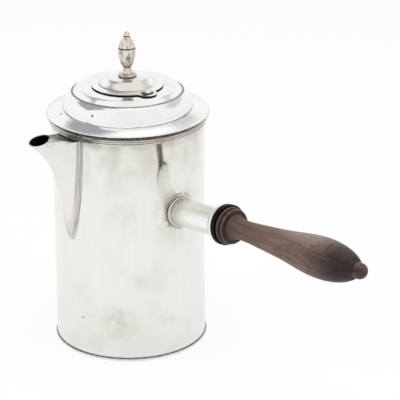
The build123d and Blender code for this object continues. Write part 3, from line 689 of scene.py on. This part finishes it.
def finial_lines(finish):
    """Dirt in the joints and under the rings of the finial."""
    lines = [finish.stripe(finish.height, at, half) for at, half in FINIAL_JOINTS]
    return finish.product(finish.either(*lines), 0.9)


def finial_dirt(finish):
    """Fine flecks all over, and one larger spot on the urn."""
    flecks = finish.product(finish.patches((500, 500, 220), 0.56, 0.70), 0.5)
    return finish.either(flecks, finish.product(finish.near(URN_SPOT, 0.0006, 0.0030), 0.75))


finial_warm = silver(
    "finial_warm", (0.86, 0.80, 0.75), (0.74, 0.66, 0.60), 0.20, 0.36,
    # Faces that look down are painted with shade.
    (lambda finish: finish.shaded_underside(0.85), finial_lines, finial_dirt),
    waves=3.0, stains=(streaks,),
)

# %% [markdown]
# ## Waxed dark wood
# The grip is turned from a close brown hardwood. The hand's grease has stayed between
# the beads and has blackened the end, and the upper side of the grip towards the swell
# is painted a lighter grey as a soft highlight. The grain runs along the grip, so the
# noise is stretched along that direction, and the shading goes by the distance along
# the grip. The washer at the shoulder is the same wood, stained black, with hardly any
# shine.

# %% Wood
GRIP_RAKE = math.radians(3.0)
GRIP_SHOULDER = Vector((0.106675, 0, 0.116432))
GRIP_RUN = Vector((math.cos(GRIP_RAKE), 0, math.sin(GRIP_RAKE)))
GRIP_UP = Vector((-math.sin(GRIP_RAKE), 0, math.cos(GRIP_RAKE)))
SHEEN_TONE = (0.30, 0.24, 0.22)
SHEEN_FROM = (0.040, 0.075)
GRIP_SHADES = (
    ((0.0055, 0.0120), (0.58, 0.72)),  # the beads, darker than the neck
    ((0.022, 0.058), (1.0, 1.62)),  # the neck, lighter towards the swell
    ((0.082, 0.112), (1.0, 0.13)),  # the end, black with grease
    ((0.1185, 0.1215), (1.0, 3.4)),  # the ball, rubbed clean again
)
SPOTS_FROM = (0.06, 0.10)
GROOVES = ((0.0029, 0.0005), (0.0064, 0.0006))


def wood(name, dark, light, low, high, gloss=0.28, wax=0.05):
    """Waxed hardwood with roughness from low to high."""
    finish = Finish(name, Coat_Weight=wax, Coat_Roughness=0.3, Specular_IOR_Level=gloss)
    along = finish.along(GRIP_SHOULDER, GRIP_RUN)
    grain_place = finish.stretched((28, 420, 420), (0, GRIP_RAKE, 0))
    grain = finish.clouds(grain_place, detail=6, roughness=0.65, distortion=0.4)
    tone = finish.mix(finish.fade(grain, 0.18, 0.80), dark, light)
    # A painted highlight: upward faces past the neck are mixed towards a light grey.
    top_sheen = finish.product(finish.facing(0.60, 1.0), finish.fade(along, *SHEEN_FROM), 0.5)
    tone = finish.mix(top_sheen, tone, SHEEN_TONE)
    uneven = finish.scaled(finish.patches((26, 60, 60), 0.3, 0.7, detail=3), 0.80, 1.08)
    shades = [finish.scaled(finish.fade(along, *ends), *tones) for ends, tones in GRIP_SHADES]
    spots = finish.product(finish.patches(330, 0.56, 0.66, detail=3), finish.fade(along, *SPOTS_FROM))
    spots = finish.scaled(spots, 1.0, 0.45)
    grooves = finish.either(*(finish.stripe(along, at, half) for at, half in GROOVES))
    grooves = finish.scaled(grooves, 1.0, 0.25)
    shaded = finish.add("VectorMath", {0: tone}, operation="SCALE")
    shade = finish.product(uneven, *shades, spots, grooves)
    finish.tree.links.new(shade, shaded.inputs["Scale"])
    finish.feed("Base Color", shaded.outputs["Vector"])
    finish.feed("Roughness", finish.scaled(grain, low, high))
    finish.bump((grain, 0.25, 0.0002))
    return finish.finished()


turned_wood = wood("turned_wood", (0.070, 0.038, 0.027), (0.215, 0.135, 0.105), 0.38, 0.55)
black_wood = wood(
    "black_wood", (0.004, 0.002, 0.0025), (0.010, 0.006, 0.006), 0.35, 0.5,
    gloss=0.10, wax=0.01,
)

# %% [markdown]
# ## Who wears which finish
# The solids are left as they are and only take a finish. Most of them are plain body
# silver, so only the others are listed.

# %% Give the solids their finishes
FINISHES = {
    lid_silver: ("lid_dome", "lid_rim_wire", "lid_bezel", "lid_plate", "pivot_spacer",
                 "rivet_burr"),
    rivet_silver: ("pivot_rivet",),
    cover_silver: ("cover_dome",),
    shaded_reed_silver: ("mouth_band",),
    fitting_silver: ("handle_socket", "socket_collar", "socket_rim", "handle_pin"),
    finial_warm: ("finial_foot", "finial_urn", "finial_cap", "finial_stud", "finial_nut"),
    turned_wood: ("handle_grip",),
    black_wood: ("handle_washer",),
}
for name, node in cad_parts.items():
    chosen = [finish for finish, names in FINISHES.items() if name in names]
    node.data.materials.clear()
    node.data.materials.append(chosen[0] if chosen else body_silver)
print(len(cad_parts), "nodes finished")

# %% [markdown]
# ## Modelling helpers
# The pieces that are remodelled below are turned work, so they are made the way a lathe
# makes them: a line is drawn as a chain of extruded points and then spun round an axis.
# A modifier could revolve the line instead (Screw does); the spin operator is used
# because its mesh can be edited at once, and welded where it closes.

# %% Helpers that draw and spin
MILLIMETRE = 0.001
WELD = 0.000001


def edit(mode):
    bpy.ops.object.mode_set(mode=mode)


def only(obj):
    """Selects one object and makes it the active one."""
    bpy.ops.object.select_all(action="DESELECT")
    obj.select_set(True)
    bpy.context.view_layer.objects.active = obj


def chain(name, points):
    """Draws an open line through points, given in millimetres, and leaves it selected."""
    first = Vector(points[0]) * MILLIMETRE
    bpy.ops.object.select_all(action="DESELECT")
    bpy.ops.mesh.primitive_plane_add(size=MILLIMETRE, location=first)
    piece = bpy.context.object
    piece.name = piece.data.name = name
    edit("EDIT")
    bpy.ops.mesh.merge(type="CENTER")
    here = first
    for point in points[1:]:
        there = Vector(point) * MILLIMETRE
        bpy.ops.mesh.extrude_vertices_move(TRANSFORM_OT_translate={"value": there - here})
        here = there
    bpy.ops.mesh.select_all(action="SELECT")
    return piece


def turn(name, points, centre, axis, finish, steps=96, smooth=40):
    """Spins a line through points into turned work; centre in millimetres."""
    piece = chain(name, points)
    middle = Vector(centre) * MILLIMETRE
    bpy.ops.mesh.spin(steps=steps, angle=math.tau, center=middle, axis=axis)
    bpy.ops.mesh.select_all(action="SELECT")
    bpy.ops.mesh.remove_doubles(threshold=10 * WELD)
    bpy.ops.mesh.normals_make_consistent(inside=False)
    edit("OBJECT")
    bpy.ops.object.transform_apply(location=True, rotation=True, scale=True)
    bpy.ops.object.shade_smooth_by_angle(angle=math.radians(smooth))
    piece.data.materials.append(finish)
    print(piece.name, "has", len(piece.data.polygons), "faces")
    return piece


print("the drawing helpers work in steps of", MILLIMETRE, "m")

# %% Helpers for a flowing line


def arc(centre, radii, start, stop, count):
    """Points on an ellipse, from start to stop in degrees."""
    spots = [math.radians(start + (stop - start) * i / count) for i in range(count + 1)]
    return [(centre[0] + radii[0] * math.cos(a), centre[1] + radii[1] * math.sin(a)) for a in spots]


def flowing(points, slopes, count):
    """A smooth line through points, with the slope of the line at each of them."""
    line = []
    for (x0, y0), (x1, y1), m0, m1 in zip(points, points[1:], slopes, slopes[1:]):
        for i in range(count):
            t, run = i / count, x1 - x0
            a, b = 2 * t**3 - 3 * t**2 + 1, t**3 - 2 * t**2 + t
            c, d = -2 * t**3 + 3 * t**2, t**3 - t**2
            line.append((x0 + run * t, a * y0 + b * run * m0 + c * y1 + d * run * m1))
    return [*line, points[-1]]


print("an arc of three steps:", arc((0, 0), (1, 1), 0, 90, 3)[1])

# %% [markdown]
# ## The wooden grip
# The real grip is turned from one piece: two beads and a deep cove at the shoulder, a
# slim neck that swells to a long oval, and a ball at the end. The line below is drawn
# in two numbers, the distance from the shoulder and the radius, and then laid along
# the grip's own axis. Old turned wood is never quite round, so after the spin the
# surface is pushed in and out by less than a fifth of a millimetre.

# %% The grip's line
FIRST_BEAD, FIRST_ROUND = (1.4, 12.2), (1.4, 1.1)
SECOND_BEAD, SECOND_ROUND = (4.75, 11.4), (1.6, 1.0)
FIRST_GROOVE, SECOND_GROOVE = (2.95, 11.4), (6.35, 9.9)
COVE, COVE_SLOPES = [(6.45, 9.3), (9.2, 7.7), (16, 7.2)], [-1.2, -0.22, 0.0]
SWELL_AT, SWELL_RADIUS, SWELL_TAIL = 90.5, 14.0, 33.5
NECK = [(16.5, 7.2), (37, 8.5), (59, 10.62), (SWELL_AT, SWELL_RADIUS)]
NECK_SLOPES = [0.01, 0.085, 0.115, 0.0]
BALL_NECK = [(119.3, 6.9), (119.9, 5.0), (120.3, 4.45)]
BALL_AT, BALL_RADIUS = 123.7, 5.5

profile = [(0, 0), (0, FIRST_BEAD[1])]
profile += arc(FIRST_BEAD, FIRST_ROUND, 180, 0, 12)
profile += [FIRST_GROOVE]
profile += arc(SECOND_BEAD, SECOND_ROUND, 180, 0, 12)
profile += [SECOND_GROOVE]
profile += flowing(COVE, COVE_SLOPES, 8)
profile += flowing(NECK, NECK_SLOPES, 12)
profile += arc((SWELL_AT, 0), (SWELL_TAIL, SWELL_RADIUS), 88, 33, 26)
profile += BALL_NECK
profile += arc((BALL_AT, 0), (BALL_RADIUS, BALL_RADIUS), 126, 0, 22)
print("the grip is", round(profile[-1][0], 1), "mm long, drawn with", len(profile), "points")

# %% Turn the grip
shoulder = GRIP_SHOULDER / MILLIMETRE
grip = turn(
    "grip", [shoulder + GRIP_RUN * along + GRIP_UP * radius for along, radius in profile],
    shoulder, GRIP_RUN, turned_wood,
)

# %% Wear it out of round
WAVER, WAVER_SIZE = 0.0003, 0.03

swell = bpy.data.textures.new("old_wood", "CLOUDS")
swell.noise_scale = WAVER_SIZE
waver = grip.modifiers.new("waver", "DISPLACE")
waver.texture = swell
waver.texture_coords = "LOCAL"
waver.strength = WAVER
waver.mid_level = 0.6
bpy.ops.object.modifier_apply(modifier="waver")
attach(grip, "pot")
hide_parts("handle_grip")
print("grip reaches", round(max(v.co.x for v in grip.data.vertices) * 1000, 1), "mm from the axis")

# %% [markdown]
# ## The beak
# The solid beak already has the right shape, but its throat has to be painted black
# with the shade inside the spout. It could be modelled again; a copy of the solid's mesh
# is surer. The copy is welded, and the faces that look towards the middle of the throat
# get a second finish, the painted shade.
# Long thin faces shade badly on a curve, so the directions that a corner shines in are
# weighted by the size of the faces that meet there.

# %% Helpers for the beak
BODY_RADIUS, BODY_TAPER, BODY_HEIGHT = 0.055, 0.0006, 0.171
WALL_REACH = 0.05442
BEAK_FOOT, BEAK_RISE = 0.0900, 0.07638
MOUTH_RUN = (0.014, 0.01881, 4.5)
NOSE = 0.0079


def body_reach(height):
    """The body's radius at a height."""
    return BODY_RADIUS - BODY_TAPER * height / BODY_HEIGHT


def beak_middle(height):
    """The middle of the beak's round front at a height."""
    rise = max((height - BEAK_FOOT) / BEAK_RISE, 0)
    straight, curled, power = MOUTH_RUN
    run = WALL_REACH + straight * rise + curled * rise**power
    return Vector((0, NOSE - run, height))


def welded_copy(name, source, finish):
    """A copy of a node's mesh as a new piece, with its loose triangles joined."""
    piece = bpy.data.objects.new(name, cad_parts[source].data.copy())
    bpy.context.scene.collection.objects.link(piece)
    piece.data.name = name
    piece.data.materials.clear()
    piece.data.materials.append(finish)
    only(piece)
    edit("EDIT")
    bpy.ops.mesh.select_all(action="SELECT")
    bpy.ops.mesh.remove_doubles(threshold=WELD)
    bpy.ops.mesh.select_all(action="DESELECT")
    edit("OBJECT")
    return piece


print("the beak's nose reaches", round(-1000 * beak_middle(BEAK_FOOT + BEAK_RISE).y, 1), "mm")

# %% Copy the beak
ON_BODY = 0.00006
INWARDS = -0.25

beak = welded_copy("beak", "spout", beak_silver)
beak.data.materials.append(throat_painted_shade)
for face in beak.data.polygons:
    away = (face.center - beak_middle(face.center.z)).normalized()
    corners = [beak.data.vertices[i].co for i in face.vertices]
    on_body = all(co.xy.length < body_reach(co.z) + ON_BODY for co in corners)
    if not on_body and face.normal.dot(away) < INWARDS:
        face.material_index = 1
only(beak)
bpy.ops.mesh.customdata_custom_splitnormals_clear()
bpy.ops.object.shade_smooth_by_angle(angle=math.radians(38))
bpy.ops.object.modifier_add(type="WEIGHTED_NORMAL")
beak.modifiers[-1].keep_sharp = True
bpy.ops.object.modifier_apply(modifier=beak.modifiers[-1].name)
print(sum(face.material_index for face in beak.data.polygons), "faces inside the throat")

# %% [markdown]
# ## The bead of solder
# Where the beak meets the body there is a low bead of solder. Its line is the beak's
# outline on the body: as wide as the beak at the top, closing in a narrow U at the foot.
# A line could be swept along a path; here it is drawn, made a curve with a round
# section, and turned back into a mesh, which needs no second object. Its ends get caps,
# and the caps are welded on.

# %% Draw the solder bead
BEAD_STEPS = 44
BEAD_RADIUS = 0.0006

line = []
for step in range(-BEAD_STEPS, BEAD_STEPS + 1):
    turn_angle = math.radians(90 * step / BEAD_STEPS)
    across = SEAM_HALF * math.sin(turn_angle)
    height = SEAM_TOP - SEAM_DROP * max(math.cos(turn_angle), 0) ** (2 / SEAM_POWER)
    depth = math.sqrt(body_reach(height) ** 2 - across**2)
    line.append(Vector((across, -depth, height)) / MILLIMETRE)
bead = chain("spout_solder", line)
edit("OBJECT")
bpy.ops.object.transform_apply(location=True, rotation=True, scale=True)
print("the bead's line has", len(bead.data.vertices), "points")

# %% Give the bead its body
bpy.ops.object.convert(target="CURVE")
bead.data.bevel_depth = BEAD_RADIUS
bead.data.bevel_resolution = 3
bead.data.use_fill_caps = True
bpy.ops.object.convert(target="MESH")
edit("EDIT")
bpy.ops.mesh.select_all(action="SELECT")
bpy.ops.mesh.remove_doubles(threshold=WELD)
edit("OBJECT")
bpy.ops.object.shade_smooth()
bead.data.materials.clear()
bead.data.materials.append(solder_grey)
for piece in (beak, bead):
    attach(piece, "pot")
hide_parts("spout")
print("bead:", len(bead.data.polygons), "faces")

# %% [markdown]
# ## The step of the lid
# The flat step that carries the cover has a crisp edge: it breaks over quickly and
# slopes steeply to the dome, so that it shows as a bright band between two thin lines.
# A mirror shows every flat spot of a slope, so it is turned from a flowing line, with
# the hole for the stirring rod, and is thin like the sheet it stands for.

# %% Turn the step
STEP_TOP, STEP_FOOT, STEP_UNDER = 191.1, 186.3, 190.1
HOLE_RADIUS, HOLE_EASE = 14.0, 0.3
FLAT_RADIUS = 35.0
EDGE, EDGE_SLOPES = [(35.3, 191.05), (36.6, 190.45), (39.6, 186.55)], [-0.10, -1.25, -1.40]
EDGE_FOOT = [(39.5, 186.4), (39.2, STEP_FOOT), (38.2, STEP_FOOT)]
EDGE_INSIDE = [(37.6, 186.6), (37.0, 187.6), (34.8, STEP_UNDER)]
HOLE_INSIDE = [(15.0, STEP_UNDER), (14.8, STEP_FOOT)]

step_line = [(HOLE_RADIUS, STEP_FOOT), (HOLE_RADIUS, STEP_TOP - HOLE_EASE)]
step_line += [(HOLE_RADIUS + HOLE_EASE, STEP_TOP), (FLAT_RADIUS, STEP_TOP)]
step_line += flowing(EDGE, EDGE_SLOPES, 8)
step_line += [*EDGE_FOOT, *EDGE_INSIDE, *HOLE_INSIDE, (HOLE_RADIUS, STEP_FOOT)]
step = turn("lid_step", [(radius, 0, z) for radius, z in step_line], (0, 0, 0), (0, 0, 1), lid_silver)
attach(step, "lid")
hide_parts("lid_plate")
print("the step's edge falls", round(STEP_TOP - EDGE[-1][1], 2), "mm")

# %% [markdown]
# ## The cover's crown
# The brim with its lug is kept from the solid, but the crown of the cover is raised
# anew on the lathe: a small hollow where it leaves the brim, a straight steep flank and
# a flat top for the finial to stand on. Where the old crown is cut away, its outer and
# inner edges are bridged, so that the brim is a closed ring again.

# %% Keep the brim
BRIM_TOP = 0.19251
BRIM_EASE = 0.00002

brim = welded_copy("cover_brim", "cover_dome", cover_silver)
for face in brim.data.polygons:
    corners = [brim.data.vertices[i].co for i in face.vertices]
    face.select = any(co.z > BRIM_TOP + BRIM_EASE for co in corners)
edit("EDIT")
bpy.ops.mesh.delete(type="FACE")
bpy.ops.mesh.select_mode(type="EDGE")
bpy.ops.mesh.select_non_manifold()
bpy.ops.mesh.bridge_edge_loops()
bpy.ops.mesh.select_mode(type="VERT")
bpy.ops.mesh.select_all(action="DESELECT")
edit("OBJECT")
print("brim:", len(brim.data.polygons), "faces")

# %% Turn the crown
CROWN = [(20.9, 192.53), (19.3, 193.1), (16.4, 196.3), (14.3, 197.75), (6.0, 198.2)]
CROWN_SLOPES = [0.0, -0.85, -1.10, -0.20, 0.0]
CROWN_INSIDE = [(6.0, 197.4), (13.0, 197.0), (15.5, 195.8), (18.0, 192.4), (20.9, 192.4)]

crown_line = [*flowing(CROWN, CROWN_SLOPES, 10), *CROWN_INSIDE, CROWN[0]]
crown = turn(
    "cover_crown", [(radius, 0, z) for radius, z in crown_line], (0, 0, 0), (0, 0, 1), cover_silver,
)
for piece in (brim, crown):
    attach(piece, "cover")
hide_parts("cover_dome")
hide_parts("cover_dome")
print("the crown rises", round(CROWN[-1][1] - CROWN[0][1], 2), "mm over the brim")

# %% [markdown]
# ## Floor, room and lamps
# Polished silver shows the room, so the room is part of the picture. The floor and the
# surroundings are white where the camera or a mirror looks at them; a greyer belt high
# up and soft lamps give the curved metal something to show. The floor is paper that
# glows a little where it is looked at, and a trace less close to the pot, where the
# pot's own foot would shade it.

# %% Floor
FLOOR_SIZE = 8
PAPER_TONE = (0.86, 0.86, 0.85, 1)
PAPER_GLOW = 0.88
POT_SHADE, POT_SHADE_REACH = (0.08, 0.18), (0.30, 0.08)

bpy.ops.mesh.primitive_plane_add(size=FLOOR_SIZE, location=(0, 0, 0))
floor = bpy.context.object
floor.name = "floor"
paper = Finish("paper", Roughness=0.9)
paper.shader.inputs["Base Color"].default_value = PAPER_TONE
glow = paper.add("Emission", {"Color": (1, 1, 1, 1), "Strength": 1.0})
round_pot = paper.scaled(paper.fade(paper.reach, *POT_SHADE_REACH), *POT_SHADE)
mirrored = paper.product(round_pot, paper.add("LightPath").outputs["Is Glossy Ray"])
share = paper.product(paper.sight(), paper.math("SUBTRACT", PAPER_GLOW, mirrored))
lit = paper.add("MixShader", {0: share, 1: paper.shader.outputs[0], 2: glow.outputs[0]})
paper.tree.links.new(lit.outputs[0], paper.tree.nodes["Material Output"].inputs["Surface"])
floor.data.materials.append(paper.finished())

# %% [markdown]
# The room is one world shader. Soft light comes from an even white. What a mirror sees
# is white too, but for four stretches of wall: a grey one and a darker one high up
# behind the pot, which draw the lid's form, a barely grey one in front, and a bright
# window. Real walls could be modelled; in a shader their edges can be as soft as liked,
# and they throw no shadow.

# %% Walls of the room
WALL_EDGE, WALL_FALL = 5, 4
ROOM_WHITE = (0.98, 0.985, 0.98)
WALLS = (
    # azimuth, half width, bottom and top in degrees; tone
    ((90.5, 32, 28, 50), (0.70, 0.70, 0.69)),
    ((-167.5, 41, 36, 67), (0.38, 0.40, 0.42)),
    ((-39.5, 28, -10, 88), (0.93, 0.93, 0.92)),
    ((132, 14, 44, 80), (1.12, 1.12, 1.12)),
)

world = bpy.data.worlds.new("studio")
world.use_nodes = True
bpy.context.scene.world = world
room = Graph(world.node_tree)
direction = room.add("TexCoord").outputs["Generated"]
rise = room.add("SeparateXYZ", {0: direction}).outputs["Z"]
level = room.vector("NORMALIZE", room.vector("MULTIPLY", direction, (1, 1, 0)))


def wall(azimuth, half_width, bottom, top):
    """1 on a stretch of wall, from its middle azimuth and half width in degrees."""
    middle = (math.cos(math.radians(azimuth)), math.sin(math.radians(azimuth)), 0)
    turned = room.vector("DOT_PRODUCT", level, middle, output="Value")
    edge = [math.cos(math.radians(half_width + ease)) for ease in (WALL_EDGE, -WALL_EDGE)]
    low = [math.sin(math.radians(bottom + ease)) for ease in (-WALL_FALL, WALL_FALL)]
    high = [math.sin(math.radians(top + ease)) for ease in (WALL_FALL, -WALL_FALL)]
    return room.product(room.fade(turned, *edge), room.fade(rise, *low), room.fade(rise, *high))


tint = ROOM_WHITE
for place, tone in WALLS:
    tint = room.mix(wall(*place), tint, tone)
tint = room.mix(room.add("LightPath").outputs["Is Camera Ray"], tint, (1, 1, 1))
print("the room has", len(WALLS), "stretches of wall")

# %% Light of the room
SOFT_LIGHT = 0.55

shown = room.add("Background", {"Color": tint, "Strength": 1.0})
soft = world.node_tree.nodes["Background"]
soft.inputs["Color"].default_value = (1, 1, 1, 1)
soft.inputs["Strength"].default_value = SOFT_LIGHT
both = room.add("MixShader", {0: room.sight(), 1: soft.outputs[0], 2: shown.outputs[0]})
world.node_tree.links.new(both.outputs[0], world.node_tree.nodes["World Output"].inputs["Surface"])
print("the world has", len(world.node_tree.nodes), "nodes")

# %% [markdown]
# Three large square lamps shape the wood and the floor. A mirror would show them as
# hard white squares, so they are hidden from reflections; the room is bright enough.

# %% Lamps
LAMPS = {
    # place, size in metres, power in watts
    "lamp_left": ((-0.7, -1.1, 0.9), 0.8, 7),
    "lamp_right": ((1.1, 0.5, 0.9), 0.8, 6),
    "lamp_top": ((0.0, 0.0, 1.5), 1.0, 8),
}
LAMP_AIM = Vector((0, 0, 0.1))

for name, (place, size, power) in LAMPS.items():
    bpy.ops.object.light_add(type="AREA", location=place)
    lamp = bpy.context.object
    lamp.name = name
    lamp.data.size = size
    lamp.data.energy = power
    lamp.visible_glossy = False
    lamp.rotation_euler = (LAMP_AIM - lamp.location).to_track_quat("-Z", "Y").to_euler()
bpy.context.scene.view_settings.view_transform = "Standard"
print(len(LAMPS), "lamps hung")
